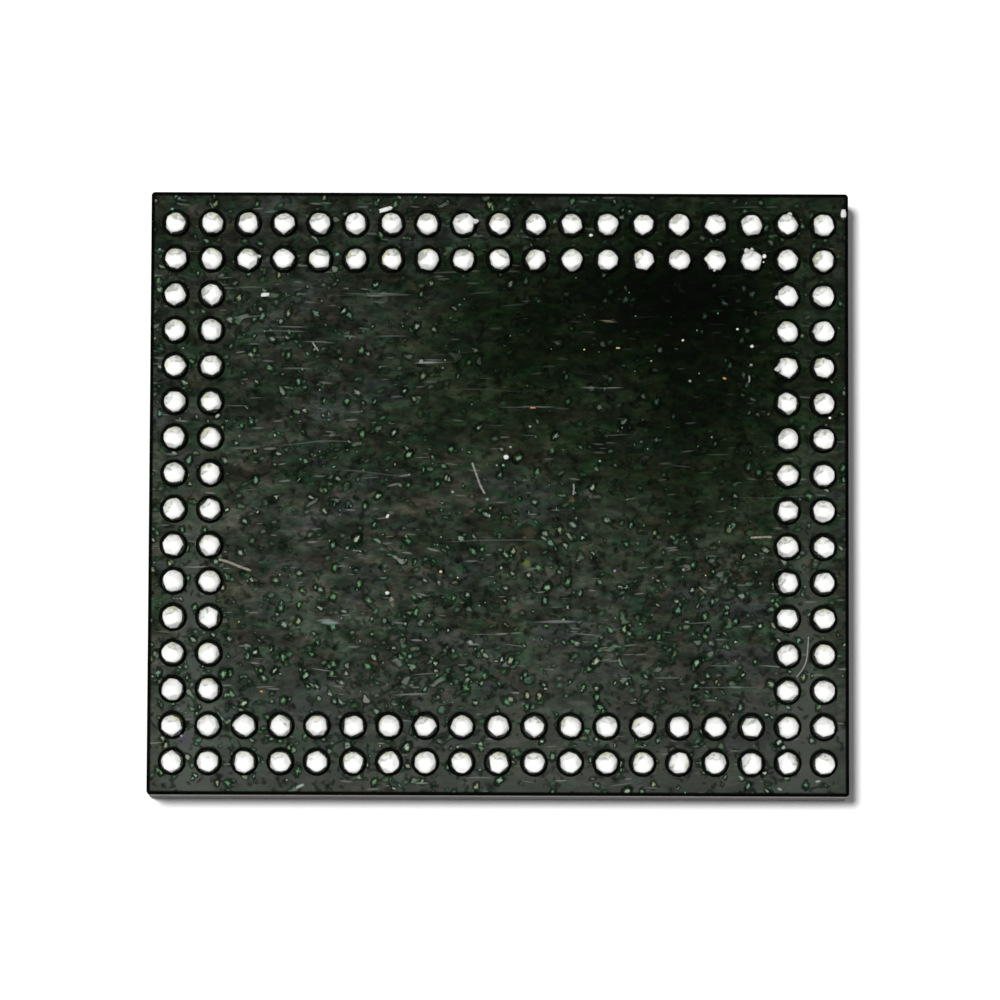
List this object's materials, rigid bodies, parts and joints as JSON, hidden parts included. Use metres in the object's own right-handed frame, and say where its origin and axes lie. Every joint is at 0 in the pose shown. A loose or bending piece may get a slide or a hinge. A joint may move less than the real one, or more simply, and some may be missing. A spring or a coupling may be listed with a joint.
{
  "type": "bga chip",
  "caption": "Thin rectangular ball grid array package, dark solder-masked laminate on a black moulded cap, with solder balls in two rings round its edge.",
  "frame": {"origin": "centre of the marking face, on which the package lies with its solder balls up; z = 0 is that face", "axes": "+Z out of the ball side, +X along the longer side, +Y towards ball row A; the first-pin corner is at +X +Y"},
  "size_m": [0.0098, 0.0084, 0.0012],
  "materials": {
    "mould_compound": "fine matte epoxy moulding compound, ground by the saw on its sides",
    "laminate": "sawn glass cloth and resin",
    "copper": "bare etched copper",
    "plug_resin": "hardened resin",
    "ball_side_mask": "dark green solder mask, satin, finely mottled and scratched",
    "die_side_mask": "dark green solder mask",
    "die_attach": "adhesive film",
    "silicon": "polished silicon",
    "gold": "drawn gold wire",
    "solder": "satin tin-silver-copper solder, as reflowed"
  },
  "bodies": {
    "root": {"mould_cap": "mould_compound", "laminate_core": "laminate", "via_barrels": "copper", "via_plugs": "plug_resin", "ball_side_copper": "copper", "ball_side_mask": "ball_side_mask", "die_side_copper": "copper", "die_flag": "copper", "die_side_mask": "die_side_mask", "die_attach_film": "die_attach", "silicon_die": "silicon", "bond_wires_back": "gold", "bond_wires_right": "gold", "bond_wires_front": "gold", "bond_wires_left": "gold", "ball_row_a": "solder", "ball_row_b": "solder", "ball_row_c": "solder", "ball_row_d": "solder", "ball_row_e": "solder", "ball_row_f": "solder", "ball_row_g": "solder", "ball_row_h": "solder", "ball_row_j": "solder", "ball_row_k": "solder", "ball_row_l": "solder", "ball_row_m": "solder", "ball_row_n": "solder", "ball_row_p": "solder", "ball_row_r": "solder", "ball_row_t": "solder"}
  },
  "joints": []
}
